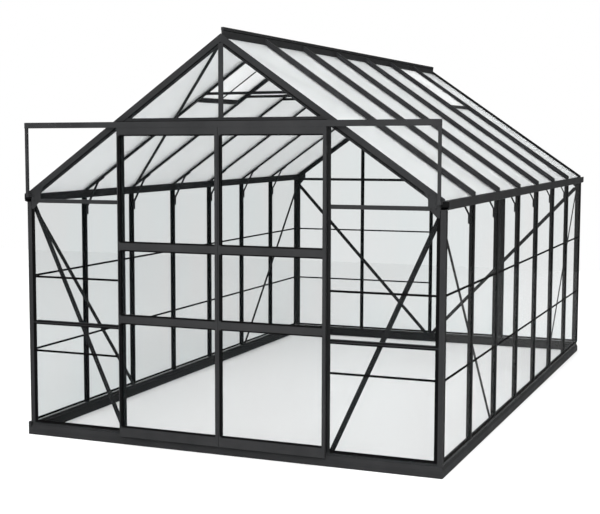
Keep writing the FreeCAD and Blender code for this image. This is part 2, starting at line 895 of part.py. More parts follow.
def gable_pane(name, end, side, inner, outer, foot):
    """Pane under a rafter: upright inner edge, level foot, slanted top."""
    edge = "rafter_lip + seal_gap"
    corners = [
        (inner, foot),
        (outer, foot),
        (outer, roof(outer, edge)),
        (inner, roof(inner, edge)),
    ]
    body = new_body(name)
    start, stop = gable_sheet(end)
    slab(body, "XZ_Plane", mirrored(side, corners), start, stop)
    return body


def build_gable_glass():
    strips = []
    front = []
    rear = []
    past_web = "(web_wall / 2 + pane_gap)"
    past_flange = "(flange_width / 2 + seal_gap)"
    to_corner = "rafter_toe"
    to_rafter = "(outer_x - corner_leg)"
    bar_top = "eave_bar_height + cross_bar_rise / 2 + seal_gap"
    header_top = "header_bottom + header_rise + seal_gap"
    header_edge = "(rafter_lip + 2 * plate_wall) / cos(roof_pitch)"
    top_corner = f"(roof_apex - {header_edge} - ({header_top})) / tan(roof_pitch)"
    header_reach = f"min({top_corner}; bay_pitch - {past_web})"
    rear_top = "eave_bar_height + joint_height / 2 + seal_gap"
    for side in (LEFT, RIGHT):
        tag = SIDE_NAMES[side]
        bay = between(side, f"bay_pitch + {past_web}", to_corner)
        seams = between(side, f"bay_pitch + {past_flange}", to_corner)
        cuts = [("middle_bar_height", "cross_bar_rise"), ("eave_bar_height", "cross_bar_rise")]
        for row, level in enumerate(pane_levels(cuts)[:-1]):
            front.append(box(f"front_pane_{tag}_{row}", bay, gable_sheet(FRONT), level))
        front.append(gable_pane(
            f"front_gable_{tag}", FRONT, side, f"bay_pitch + {past_web}", to_corner, bar_top))
        front.append(gable_pane(f"front_top_{tag}", FRONT, side, past_web, header_reach, header_top))
        for joint in ("lower_joint", "upper_joint"):
            rise = (f"{joint} - joint_height / 2", f"{joint} + joint_height / 2")
            strips.append(box(f"front_{joint}_{tag}", seams, gable_strip(FRONT), rise))
        joints = ("lower_joint", "upper_joint") if side == LEFT else ()
        wing = "0" if side == LEFT else "rear_post_wing"
        inner_bay = (past_web, f"bay_pitch - {past_web}", past_flange, f"bay_pitch - {past_flange} - {wing}")
        outer_bay = (f"bay_pitch + {past_web}", to_corner, f"bay_pitch + {past_flange}", to_corner)
        for place, (near, far, seam_near, seam_far) in enumerate((inner_bay, outer_bay)):
            span = between(side, near, far)
            levels = pane_levels([("eave_bar_height", "joint_height")], joints)[:-1]
            for row, level in enumerate(levels):
                rear.append(box(f"rear_pane_{tag}_{place}_{row}", span, gable_sheet(REAR), level))
            rear.append(gable_pane(f"rear_gable_{tag}_{place}", REAR, side, near, far, rear_top))
            for joint in (*joints, "eave_bar_height"):
                rise = (f"{joint} - joint_height / 2", f"{joint} + joint_height / 2")
                reach = to_rafter if place == 1 and joint == "eave_bar_height" else seam_far
                seam = between(side, seam_near, reach)
                strips.append(box(f"rear_{joint}_{tag}_{place}", seam, gable_strip(REAR), rise))
    group("front_glass", front)
    group("rear_glass", rear)
    return strips


def build_roof_glass():
    for side in (LEFT, RIGHT):
        panes = []
        for bay in range(int(SIZES["bays_long"])):
            start = f"{station(bay)} + web_wall / 2 + pane_gap"
            end = f"{station(bay + 1)} - web_wall / 2 - pane_gap"
            if bay == 0:
                start = "plate_wall + pane_gap - outer_y"
            if bay == SIZES["bays_long"] - 1:
                end = "outer_y - plate_wall - pane_gap"
            top = "roof_glass_top"
            if bay == VENT_BAYS[side]:
                top = "sash_end + sill_gap + sill_width + seal_gap"
            panes.append(slope_box(
                f"{SIDE_NAMES[side]}_roof_pane_{bay}", side, (top, "roof_glass_end"), (start, end),
                ("pane_face", "pane_back")))
        group(SIDE_NAMES[side] + "_roof_glass", panes)


def build_track():
    reach = ("-track_half_length", "track_half_length")
    roof_foot = "track_bottom + track_height - track_wall"
    roof_rise = (roof_foot, f"{roof_foot} + track_wall")
    plates = [box("track_roof", reach, ("-leaf_front", "-leaf_back"), roof_rise)]
    for face, outer in (("front", "(0 - track_depth / 2)"), ("back", "(track_depth / 2)")):
        inward = 1 if face == "front" else -1
        wall = f"{outer} + {inward} * track_wall"
        lip = f"-{inward} * track_slot / 2"
        pairs = [(outer, wall, ("track_bottom", roof_foot)),
                 (wall, lip, ("track_bottom", "track_bottom + track_wall"))]
        for place, (near, far, rise) in enumerate(pairs):
            low, high = (near, far) if face == "front" else (far, near)
            plates.append(box(
                f"track_{face}_{place}", reach, (f"{low} - leaf_middle", f"{high} - leaf_middle"), rise))
    group("door_track", plates)

    supports = []
    post_depth = ("-leaf_middle - track_post / 2", "track_post / 2 - leaf_middle")
    for side in (LEFT, RIGHT):
        supports.append(box(
            f"track_post_{SIDE_NAMES[side]}",
            between(side, "track_half_length - track_post", "track_half_length"),
            post_depth,
            ("eave_top", "track_bottom"),
        ))
        middle = "(track_half_length - track_post / 2)"
        supports.append(box(
            f"track_foot_{SIDE_NAMES[side]}",
            between(side, f"{middle} - track_foot_width / 2", f"{middle} + track_foot_width / 2"),
            (post_depth[0], "-outer_y - plate_wall"),
            ("eave_top - track_foot_rise", "eave_top"),
        ))
    for place in (-1, 0, 1):
        middle = times(place, "track_bracket_pitch")
        supports.append(box(
            f"track_bracket_{place + 1}",
            (f"{middle} - track_bracket_width / 2", f"{middle} + track_bracket_width / 2"),
            ("-leaf_back", "-outer_y"),
            ("header_bottom", "header_bottom + track_bracket_rise"),
        ))
    group("track_supports", supports)


def build_door(side):
    tag = SIDE_NAMES[side]
    depth = ("-leaf_front", "-leaf_back")
    across = between(side, "leaf_inner", "leaf_outer")
    open_near = "leaf_inner + stile_width"
    open_far = "leaf_outer - stile_width"
    inside = between(side, open_near, open_far)
    board_foot = "leaf_top - top_board"
    rails = (
        ("leaf_bottom", "leaf_bottom + bottom_rail"),
        ("lower_rail_height", "lower_rail_height + middle_rail"),
        ("upper_rail_height", "upper_rail_height + middle_rail"),
    )
    frame = [box(f"{tag}_leaf_board", across, depth, (board_foot, "leaf_top"))]
    stile_rise = ("leaf_bottom", board_foot)
    frame.append(box(
        f"{tag}_leaf_meeting_stile", between(side, "leaf_inner", open_near), depth, stile_rise))
    frame.append(box(
        f"{tag}_leaf_outer_stile", between(side, open_far, "leaf_outer"), depth, stile_rise))
    for row, level in enumerate(rails):
        frame.append(box(f"{tag}_leaf_rail_{row}", inside, depth, level))

    stations = {"inner": "leaf_inner + roller_inset", "outer": "leaf_outer - roller_inset"}
    for place, middle in stations.items():
        x = times(side, middle)
        plate = box(
            f"{tag}_{place}_hanger_plate",
            (f"{x} - hanger_width / 2", f"{x} + hanger_width / 2"),
            ("-leaf_middle - hanger_thick / 2", "hanger_thick / 2 - leaf_middle"),
            ("leaf_top", "axle_height + roller_radius - running_gap"),
        )
        hole = rod(
            f"{tag}_{place}_hanger_hole", "axle_radius + running_gap", x,
            ("-leaf_middle - hanger_thick", "hanger_thick - leaf_middle"), "axle_height")
        frame.append(drilled(f"{tag}_{place}_hanger", plate, hole))
    group(f"{tag}_door_frame", frame)

    panes = []
    glass = ("-leaf_middle - glass_thick / 2", "glass_thick / 2 - leaf_middle")
    pane_span = between(side, f"{open_near} + seal_gap", f"{open_far} - seal_gap")
    tops = [rails[1][0], rails[2][0], board_foot]
    for row, level in enumerate(rails):
        rise = (f"{level[1]} + seal_gap", f"{tops[row]} - seal_gap")
        panes.append(box(f"{tag}_leaf_pane_{row}", pane_span, glass, rise))
    group(f"{tag}_door_glass", panes)

    spool = [
        ("0", "-roller_width / 2"),
        ("roller_radius", "-roller_width / 2"),
        ("roller_radius", "-roller_groove / 2"),
        ("axle_radius", "-roller_groove / 2"),
        ("axle_radius", "roller_groove / 2"),
        ("roller_radius", "roller_groove / 2"),
        ("roller_radius", "roller_width / 2"),
        ("0", "roller_width / 2"),
    ]
    for place, middle in stations.items():
        name = f"{tag}_door_{place}_roller"
        body = new_body(name)
        sketch = outline(body, "XY_Plane", [spool], "0")
        turned = body.newObject("PartDesign::Revolution", name + "_turned")
        turned.Profile = sketch
        turned.ReferenceAxis = (sketch, ["V_Axis"])
        turned.Angle = 360
        body.Tip = turned
        bind(body, ".Placement.Base.x", times(side, middle))
        bind(body, ".Placement.Base.y", "-leaf_middle")
        bind(body, ".Placement.Base.z", "axle_height")
        keep(body, name)


def build_vents():
    sills = []
    barrels = []
    for side in (LEFT, RIGHT):
        tag = SIDE_NAMES[side]
        near = station(VENT_BAYS[side])
        far = station(VENT_BAYS[side] + 1)
        middle = f"({near} + bay_pitch / 2)"
        clear_span = (f"{near} + flange_width / 2", f"{far} - flange_width / 2")
        sill_start = "sash_end + sill_gap"
        sills.append(slope_box(
            f"{tag}_sill_bar", side, (sill_start, f"{sill_start} + sill_width"), clear_span,
            ("sash_inset", "roof_bar_depth")))
        ledge = (f"{sill_start} - ledge_width", sill_start)
        ledge_depth = ("sash_back + seal_gap", "sash_back + seal_gap + ledge_thick")
        for place, span in enumerate((
            (clear_span[0], f"{middle} - ledge_break / 2"),
            (f"{middle} + ledge_break / 2", clear_span[1]),
        )):
            sills.append(slope_box(f"{tag}_sill_ledge_{place}", side, ledge, span, ledge_depth))

        edge_gap = "(flange_width / 2 + sash_side_gap)"
        start = f"{near} + {edge_gap}"
        end = f"{far} - {edge_gap}"
        thick = ("sash_inset", "sash_back")
        head_foot = "sash_top + sash_head"
        foot_top = "sash_end - sash_foot"
        between_rails = (head_foot, foot_top)
        frame = [
            slope_box(f"{tag}_sash_head", side, ("sash_top", head_foot), (start, end), thick),
            slope_box(f"{tag}_sash_foot", side, (foot_top, "sash_end"), (start, end), thick),
            slope_box(f"{tag}_sash_near", side, between_rails, (start, f"{start} + sash_side"), thick),
            slope_box(f"{tag}_sash_far", side, between_rails, (f"{end} - sash_side", end), thick),
        ]
        pane = slope_box(
            f"{tag}_vent_pane", side,
            (f"{head_foot} + seal_gap", f"{foot_top} - seal_gap"),
            (f"{start} + sash_side + seal_gap", f"{end} - sash_side - seal_gap"),
            ("sash_inset + vent_glass_inset", "sash_inset + vent_glass_inset + glass_thick"))
        keep(pane, f"{tag}_vent_pane")

        for place, centre in enumerate((f"({start} + hinge_inset)", f"({end} - hinge_inset)")):
            for part, shift in enumerate(("-1", "0", "1")):
                mid = f"({centre} + {shift} * (hinge_length + hinge_play))"
                span = (f"{mid} - hinge_length / 2", f"{mid} + hinge_length / 2")
                label = f"{tag}_hinge_{place}_{part}"
                barrel = rod(label + "_barrel", "hinge_radius", times(side, "hinge_x"), span, "hinge_z")
                if shift == "0":
                    plate = slope_box(
                        label + "_plate", side, ("hinge_station", "sash_top + hinge_plate_reach"), span,
                        ("sash_inset - hinge_plate", "sash_inset"))
                    frame.append(fused(label, [barrel, plate]))
                else:
                    plate = box(
                        label + "_plate", between(side, "ridge_half", "hinge_x"), span,
                        ("hinge_z", "hinge_z + hinge_plate"))
                    barrels.append(fused(label, [barrel, plate]))

        pin_x, pin_z = slope_spot(side, "pin_station", "pin_depth")
        lug_half = "(stay_width / 2 + lug_play)"
        for sign in (-1, 1):
            span = between(sign, lug_half, f"{lug_half} + lug_thick")
            span = (f"{middle} + {span[0]}", f"{middle} + {span[1]}")
            frame.append(slope_box(
                f"{tag}_stay_lug_{sign + 1}", side,
                ("pin_station - stay_eye", "pin_station + stay_eye"), span,
                ("sash_back", "pin_depth + stay_eye")))
        pin_span = (f"{middle} - {lug_half}", f"{middle} + {lug_half}")
        frame.append(rod(f"{tag}_stay_pin", "stay_pin", pin_x, pin_span, pin_z))
        group(f"{tag}_vent_frame", frame)

        stay_span = (f"{middle} - stay_width / 2", f"{middle} + stay_width / 2")
        eye = rod(f"{tag}_stay_eye", "stay_eye", pin_x, stay_span, pin_z)
        arm = slope_box(
            f"{tag}_stay_arm", side, ("pin_station - stay_length", "pin_station"), stay_span,
            ("pin_depth - stay_thick / 2", "pin_depth + stay_thick / 2"))
        bore = rod(
            f"{tag}_stay_bore", "stay_pin + running_gap", pin_x,
            (f"{middle} - stay_width", f"{middle} + stay_width"), pin_z)
        keep(drilled(f"{tag}_vent_stay", fused(f"{tag}_stay_blank", [eye, arm]), bore), f"{tag}_vent_stay")
    group("vent_sills", sills)
    group("vent_hinge_barrels", barrels)


def check(item):
    flags = [flag for flag in item.State if flag in ("Invalid", "Error")]
    if flags:
        raise RuntimeError(f"{item.Label}: {flags}")


def main():
    fill_sheet()
    build_base()
    build_base_caps()
    build_corner_posts()
    build_wall_bars()
    build_gable_posts()
    build_cross_bars()
    build_eaves()
    build_ridge()
    build_rafters()
    build_roof_bars()
    build_trusses()
    build_braces()
    build_gussets()
    strips = build_wall_glass()
    strips += build_gable_glass()
    group("pane_joint_strips", strips)
    build_roof_glass()
    build_track()
    for side in (LEFT, RIGHT):
        build_door(side)
    build_vents()
    doc.recompute()
    for item in doc.Objects:
        check(item)
    os.makedirs("parts", exist_ok=True)
    for item in nodes:
        shape = item.Shape
        if shape.isNull() or not shape.isValid() or not shape.Solids:
            raise RuntimeError(f"{item.Label}: no sound solid")
        shape.exportStep(f"parts/{item.Label}.step")


main()
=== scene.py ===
import json
import math

import bmesh
import bpy
from mathutils import Matrix, Vector


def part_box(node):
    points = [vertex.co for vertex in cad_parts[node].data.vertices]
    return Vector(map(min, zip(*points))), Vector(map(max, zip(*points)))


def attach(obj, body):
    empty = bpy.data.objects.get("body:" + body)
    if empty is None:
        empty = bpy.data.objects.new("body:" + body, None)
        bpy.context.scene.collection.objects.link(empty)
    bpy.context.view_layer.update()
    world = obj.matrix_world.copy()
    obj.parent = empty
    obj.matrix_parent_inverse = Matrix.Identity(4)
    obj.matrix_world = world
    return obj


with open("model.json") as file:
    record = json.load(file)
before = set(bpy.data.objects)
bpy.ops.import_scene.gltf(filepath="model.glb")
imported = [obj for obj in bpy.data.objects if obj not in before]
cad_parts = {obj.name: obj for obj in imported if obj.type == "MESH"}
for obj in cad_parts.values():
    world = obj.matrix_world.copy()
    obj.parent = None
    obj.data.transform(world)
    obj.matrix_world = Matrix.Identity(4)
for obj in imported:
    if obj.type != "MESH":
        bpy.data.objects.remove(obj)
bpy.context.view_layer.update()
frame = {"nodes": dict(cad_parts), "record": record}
scene = bpy.context.scene

# camera, fitted to the photo's bar lines: metres, degrees and pixels
IMAGE_WIDTH = 600
IMAGE_HEIGHT = 514
CAMERA_SPOT = (2.8817, -8.4992, 1.7587)
CAMERA_YAW = 24.489
CAMERA_PITCH = 5.614
CAMERA_ROLL = -0.170
CAMERA_REACH = 200
FOCAL_PIXELS = 1263.65
CENTRE_PIXEL = (222.46, 263.55)
SENSOR_WIDTH = 36.0

# floor, with its glow by the count of pane faces that a camera ray has crossed
FLOOR_FRONT = -22.0
FLOOR_BACK = 8.67
FLOOR_HALF = 24.0
FLOOR_DROP = 0.0006
FLOOR_TONE = 0.9
FLOOR_LIFT = 0.3
FAR_FLOOR_LIFT = (0.06, 0.22)
FAR_FLOOR_SPAN = (-2.0, 1.5)
BARE_FACES = (0.0, 1.0)
FAR_FACES = (2.0, 4.0)

# world and lamps
WORLD_LIGHT = 0.18
WORLD_MIRRORED = 0.4
TOP_LIGHT_TOWARDS = (-0.1, 0.3, -1.0)
TOP_LIGHT_SPREAD = 100.0
TOP_LIGHT_STRENGTH = 2.5
FRONT_LIGHT_SPOT = (2.5, -10.5, 3.5)
FRONT_LIGHT_AIM = (0, -2, 1)
FRONT_LIGHT_SIZE = (6.0, 4.0)
FRONT_LIGHT_POWER = 760

# powder coats: dark patches, light patches, and a paler edge tone that is part abraded paint, part painted
# edge highlight
FRAME_COAT = ((0.022, 0.0225, 0.0235), (0.028, 0.0285, 0.0295), (0.05, 0.051, 0.053))
DOOR_COAT = ((0.024, 0.0245, 0.0255), (0.031, 0.0315, 0.0325), (0.042, 0.043, 0.045))
FITTING_COAT = ((0.016, 0.0165, 0.017), (0.022, 0.0225, 0.023), (0.05, 0.05, 0.052))
# darker copy of the frame coat: painted shade, for bars that lie in shade
PAINTED_SHADE_COAT = ((0.011, 0.0113, 0.0118), (0.015, 0.0153, 0.0158), (0.03, 0.031, 0.032))
COAT_SHEEN = 0.02
COAT_ROUGHNESS = (0.44, 0.58)
EDGE_SAMPLES = 4
EDGE_RADIUS = 0.0012
EDGE_TURN = (0.75, 0.99)
EDGE_WEAR_AND_HIGHLIGHT = 0.6

# rubber and plastic: dark and light patches
SEAL_BLACK = ((0.002, 0.002, 0.0021), (0.0045, 0.0045, 0.0047))
SEAL_LIGHT_FROM = 0.75
SEAL_SHEEN = 0.02
SEAL_ROUGHNESS = (0.6, 0.8)
CAP_BLACK = ((0.0025, 0.0025, 0.0026), (0.0045, 0.0045, 0.0047))
CAP_ROUGHNESS = (0.42, 0.58)
ROLLER_WHITE = ((0.5, 0.5, 0.48), (0.6, 0.6, 0.57))
ROLLER_ROUGHNESS = (0.32, 0.48)
PLASTIC_SHEEN = 0.03

# glass: tints of what is seen through, and the share that a film hides
WHITE = (1.0, 1.0, 1.0)
GLASS_IOR = 1.45
GLASS_TINT = (0.994, 0.999, 1.0)
DEEP_TINT = (0.968, 0.998, 1.0)
FILM_TONE = (0.003, 0.007, 0.008)
FILM_PLAY = 0.004
FILM_ROUGHNESS = (0.04, 0.12)
WALL_COVER = 0.076
DOOR_COVER = 0.090
LEFT_WALL_COVER = 0.100
REAR_COVER = 0.055
ROOF_MILK = ((0.852, 0.863, 0.865), (0.866, 0.877, 0.879))
VENT_MILK = ((0.985, 0.992, 0.992), (0.992, 0.997, 0.997))
MILK_ROUGHNESS = (0.81, 0.89)

# range that most noise values lie in
NOISE_LOW = 0.3
NOISE_HIGH = 0.7
# colour sockets of the mix node
MIX_FIRST = 6
MIX_SECOND = 7
MIX_RESULT = 2


def nodes_of(name):
    """A new node material with an empty tree and its output."""
    made = bpy.data.materials.new(name)
    made.use_nodes = True
    made.node_tree.nodes.clear()
    out = made.node_tree.nodes.new("ShaderNodeOutputMaterial")
    return made, made.node_tree, out


def link(tree, source, target):
    """Joins an output socket to an input socket."""
    tree.links.new(source, target)


def coordinates(tree):
    """Places in the piece's own frame."""
    made = tree.nodes.new("ShaderNodeTexCoord")
    return made.outputs["Object"]


def noise(tree, coords, scale, detail=3.0, rough=0.55, stretch=(1, 1, 1)):
    """Noise at the given coordinates, in waves per metre."""
    place = tree.nodes.new("ShaderNodeMapping")
    place.inputs["Scale"].default_value = stretch
    link(tree, coords, place.inputs["Vector"])
    made = tree.nodes.new("ShaderNodeTexNoise")
    made.inputs["Scale"].default_value = scale
    made.inputs["Detail"].default_value = detail
    made.inputs["Roughness"].default_value = rough
    link(tree, place.outputs["Vector"], made.inputs["Vector"])
    return made.outputs["Fac"]


def ramp(tree, value, dark, light, light_from=NOISE_HIGH):
    """Colour that runs from dark to light with a noise value."""
    made = tree.nodes.new("ShaderNodeValToRGB")
    stops = ((NOISE_LOW, dark), (light_from, light))
    for element, (spot, colour) in zip(made.color_ramp.elements, stops):
        element.position = spot
        element.color = (*colour, 1.0)
    link(tree, value, made.inputs["Fac"])
    return made.outputs["Color"]


def span(tree, value, low, high, start=NOISE_LOW, end=NOISE_HIGH):
    """Maps a value that runs from start to end onto low to high."""
    made = tree.nodes.new("ShaderNodeMapRange")
    made.inputs["From Min"].default_value = start
    made.inputs["From Max"].default_value = end
    made.inputs["To Min"].default_value = low
    made.inputs["To Max"].default_value = high
    link(tree, value, made.inputs["Value"])
    return made.outputs["Result"]


def math_step(tree, operation, *values):
    """One math operation on sockets."""
    made = tree.nodes.new("ShaderNodeMath")
    made.operation = operation
    for socket, value in zip(made.inputs, values):
        link(tree, value, socket)
    return made.outputs["Value"]


def bump(tree, height, strength, distance):
    """Surface normal that follows a height; the distance is in metres."""
    made = tree.nodes.new("ShaderNodeBump")
    made.inputs["Strength"].default_value = strength
    made.inputs["Distance"].default_value = distance
    link(tree, height, made.inputs["Height"])
    return made.outputs["Normal"]


def edge_mask(tree):
    """0 on flat faces, rising to 1 along edges."""
    soft = tree.nodes.new("ShaderNodeBevel")
    soft.samples = EDGE_SAMPLES
    soft.inputs["Radius"].default_value = EDGE_RADIUS
    flat = tree.nodes.new("ShaderNodeNewGeometry")
    dot = tree.nodes.new("ShaderNodeVectorMath")
    dot.operation = "DOT_PRODUCT"
    link(tree, soft.outputs["Normal"], dot.inputs[0])
    link(tree, flat.outputs["Normal"], dot.inputs[1])
    return span(tree, dot.outputs["Value"], 1.0, 0.0, *EDGE_TURN)


def mixed(tree, factor, tone, colour):
    """Mixes a plain colour into a tone."""
    made = tree.nodes.new("ShaderNodeMix")
    made.data_type = "RGBA"
    link(tree, factor, made.inputs["Factor"])
    link(tree, tone, made.inputs[MIX_FIRST])
    made.inputs[MIX_SECOND].default_value = (*colour, 1.0)
    return made.outputs[MIX_RESULT]


def powder_coat(name, dark, light, wear_and_highlight):
    """Fine-textured dark powder coat on aluminium, paler along its edges: partly abraded paint, partly a
    painted edge highlight.
    """
    made, tree, out = nodes_of(name)
    coords = coordinates(tree)
    shader = tree.nodes.new("ShaderNodeBsdfPrincipled")
    shader.inputs["Specular IOR Level"].default_value = COAT_SHEEN
    patches = noise(tree, coords, scale=5.0, detail=4.0)
    grain = noise(tree, coords, scale=700.0, detail=2.0)
    # edge mask, paler: abraded paint and a painted edge highlight
    rubbed_and_highlit = span(tree, edge_mask(tree), 0.0, EDGE_WEAR_AND_HIGHLIGHT, 0.0, 1.0)
    worn_and_highlit = mixed(tree, rubbed_and_highlit, ramp(tree, patches, dark, light), wear_and_highlight)
    link(tree, worn_and_highlit, shader.inputs["Base Color"])
    link(tree, span(tree, patches, *COAT_ROUGHNESS), shader.inputs["Roughness"])
    link(tree, bump(tree, grain, strength=0.25, distance=0.0004), shader.inputs["Normal"])
    link(tree, shader.outputs["BSDF"], out.inputs["Surface"])
    return made


def rubber(name, dark, light):
    """Black extruded seal with lengthwise drag marks."""
    made, tree, out = nodes_of(name)
    coords = coordinates(tree)
    shader = tree.nodes.new("ShaderNodeBsdfPrincipled")
    shader.inputs["Specular IOR Level"].default_value = SEAL_SHEEN
    streaks = noise(tree, coords, scale=60.0, rough=0.6, stretch=(1.0, 1.0, 0.15))
    grain = noise(tree, coords, scale=900.0)
    link(tree, ramp(tree, streaks, dark, light, SEAL_LIGHT_FROM), shader.inputs["Base Color"])
    link(tree, span(tree, streaks, *SEAL_ROUGHNESS), shader.inputs["Roughness"])
    link(tree, bump(tree, grain, strength=0.2, distance=0.0003), shader.inputs["Normal"])
    link(tree, shader.outputs["BSDF"], out.inputs["Surface"])
    return made


def moulded(name, dark, light, roughness):
    """Moulded plastic with a fine spark-eroded surface."""
    made, tree, out = nodes_of(name)
    coords = coordinates(tree)
    shader = tree.nodes.new("ShaderNodeBsdfPrincipled")
    shader.inputs["Specular IOR Level"].default_value = PLASTIC_SHEEN
    cloud = noise(tree, coords, scale=40.0)
    grain = noise(tree, coords, scale=1200.0)
    link(tree, ramp(tree, cloud, dark, light), shader.inputs["Base Color"])
    link(tree, span(tree, cloud, *roughness), shader.inputs["Roughness"])
    link(tree, bump(tree, grain, strength=0.3, distance=0.0003), shader.inputs["Normal"])
    link(tree, shader.outputs["BSDF"], out.inputs["Surface"])
    return made


def pane(name, tint, cover):
    """Thin see-through pane: a tint filters what is seen, and a faint dark film hides a share of it."""
    made, tree, out = nodes_of(name)
    coords = coordinates(tree)
    smear = noise(tree, coords, scale=1.6, detail=4.0, rough=0.6, stretch=(1.0, 1.0, 0.35))
    haze = noise(tree, coords, scale=220.0, detail=2.0)
    waves = noise(tree, coords, scale=3.0, detail=1.0)
    clear = tree.nodes.new("ShaderNodeBsdfTransparent")
    link(tree, ramp(tree, smear, tint, WHITE), clear.inputs["Color"])
    shader = tree.nodes.new("ShaderNodeBsdfPrincipled")
    shader.inputs["Base Color"].default_value = (*FILM_TONE, 1.0)
    shader.inputs["IOR"].default_value = GLASS_IOR
    link(tree, span(tree, haze, *FILM_ROUGHNESS), shader.inputs["Roughness"])
    link(tree, bump(tree, waves, strength=0.05, distance=0.002), shader.inputs["Normal"])
    both = tree.nodes.new("ShaderNodeMixShader")
    link(tree, span(tree, smear, cover - FILM_PLAY, cover + FILM_PLAY), both.inputs["Fac"])
    link(tree, clear.outputs["BSDF"], both.inputs[1])
    link(tree, shader.outputs["BSDF"], both.inputs[2])
    link(tree, both.outputs["Shader"], out.inputs["Surface"])
    return made


def frosted(name, dark, light):
    """Light-diffusing roof pane: hides what lies behind it and glows evenly from below."""
    made, tree, out = nodes_of(name)
    coords = coordinates(tree)
    shader = tree.nodes.new("ShaderNodeBsdfPrincipled")
    shader.inputs["IOR"].default_value = GLASS_IOR
    shader.inputs["Transmission Weight"].default_value = 1.0
    cloud = noise(tree, coords, scale=1.2)
    grain = noise(tree, coords, scale=160.0)
    link(tree, ramp(tree, cloud, dark, light), shader.inputs["Base Color"])
    link(tree, span(tree, grain, *MILK_ROUGHNESS), shader.inputs["Roughness"])
    link(tree, shader.outputs["BSDF"], out.inputs["Surface"])
    return made


MATERIALS = {
    "frame_metal": powder_coat("frame_powder_coat", *FRAME_COAT),
    "door_metal": powder_coat("door_powder_coat", *DOOR_COAT),
    "fitting_metal": powder_coat("fitting_powder_coat", *FITTING_COAT),
    "seal_rubber": rubber("seal_rubber", *SEAL_BLACK),
    "cap_plastic": moulded("cap_plastic", *CAP_BLACK, CAP_ROUGHNESS),
    "roller_plastic": moulded("roller_plastic", *ROLLER_WHITE, ROLLER_ROUGHNESS),
    "wall_glass": pane("wall_glass", GLASS_TINT, WALL_COVER),
    "door_glass": pane("door_glass", GLASS_TINT, DOOR_COVER),
    "roof_glass": frosted("roof_glass", *ROOF_MILK),
    "vent_glass": frosted("vent_glass", *VENT_MILK),
}

# bars with a darker copy of the coat than their slot's: painted shade for bars that lie in shade
PAINTED_SHADE_MATERIAL = powder_coat("bar_painted_shade_coat", *PAINTED_SHADE_COAT)
SHADE_PAINTED_BARS = ("_wall_bars", "_wind_braces", "_gable_posts", "knee_braces", "collar_ties", "rear_base_rail",
             "rear_left_corner_post", "rear_right_corner_post", "rear_left_rafter", "rear_right_rafter",
             "rear_eave_bar", "door_jambs", "left_eave_beam", "left_roof_bars", "left_base_rail")
# far walls, whose glass differs from the other walls'
OWN_GLASS = {
    "left_wall_glass": pane("left_wall_glass", DEEP_TINT, LEFT_WALL_COVER),
    "rear_glass": pane("rear_glass", DEEP_TINT, REAR_COVER),
}

slots = {row["node"]: row["material_slot"] for row in frame["record"]["subparts"]}
for name, thing in frame["nodes"].items():
    thing.data.materials.clear()
    # listed bars take the painted-shade coat in place of their slot's
    usual = PAINTED_SHADE_MATERIAL if name.endswith(SHADE_PAINTED_BARS) else MATERIALS[slots[name]]
    thing.data.materials.append(OWN_GLASS.get(name, usual))

# lines of the house, in metres, read from the frame
post_low, post_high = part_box("front_right_corner_post")
ridge_low, ridge_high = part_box("ridge_board")
leaf_low, leaf_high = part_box("right_door_frame")
leaf_pane_low, leaf_pane_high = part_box("right_door_glass")
track_low, track_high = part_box("door_track")
OUTER_X = post_high[0]
OUTER_Y = -post_low[1]
BASE_TOP = post_low[2]
EAVE = post_high[2]

# sizes of the bars, as in the part
FRAME_DEPTH = 0.030
INNER_X = OUTER_X - FRAME_DEPTH
INNER_Y = OUTER_Y - FRAME_DEPTH
BAYS_LONG = 7
BAR_LINE_INSET = 0.012
BAY = 2 * (OUTER_Y - BAR_LINE_INSET) / BAYS_LONG
CLEAR = 0.0005
HAIR = CLEAR / 5
LIP = 0.027 + CLEAR
HALF_FLANGE = 0.0155
HALF_WEB = 0.0015 + HAIR
REAR_WING = 0.017
ROOF_PITCH = math.radians(35.07)
ROOF_RISE = 0.0546
ROOF_AT_EAVE = EAVE + ROOF_RISE
RAFTER_LIP = 0.0345
RAFTER_DEPTH = 0.0545
RAFTER_SEAL_END = 1.19
HEADER_CORNER = 0.575
BAY_BAR = (0.6705, 0.6925)
BAY_BAR_END = OUTER_X - LIP
EAVE_BAR_DROP = 0.0035
# bays across a gable that hold panes, counted from the ridge line; the doors fill the front's middle two
FRONT_PANE_BAYS = (-2, 1)
REAR_PANE_BAYS = (-2, -1, 0, 1)
# rear bay that the wing of the wide post reaches into
WINGED_BAY = 0

# strips beside the wall panes
STRIP_FOOT = BASE_TOP + CLEAR
STRIP_TOP = EAVE - CLEAR
SPLIT_STRIP = ((STRIP_FOOT, BAY_BAR[0] - CLEAR), (BAY_BAR[1] + CLEAR, EAVE - EAVE_BAR_DROP))
GASKET_WIDTH = 0.018
GASKET_THICK = 0.0011
GASKET_BACK = 0.0014
# black strips on the bars' inner edges: painted shade
BAR_EDGE_SHADE_WIDTH = 0.0199
BAR_EDGE_SHADE_THICK = 0.003
SILL_RISE = 0.016
SILL_THICK = 0.0018
SILL_BACK = 0.0027
EDGE_SEAL = 0.006
# black strips beside the bars inside the glass: painted shade of the grooves
GROOVE_SHADE_WIDTH = 0.0128
GROOVE_SHADE_THICK = 0.004
GROOVE_SHADE_BACK = 0.0060
GROOVE_SHADE_SIDE = 0.0017
BAY_BAR_LAP = 0.008
RIDGE_LIP = 0.016
RIDGE_SEAL_RISE = 0.0035
RIDGE_SEAL_THICK = 0.0017
HALF_RIDGE = 0.0061

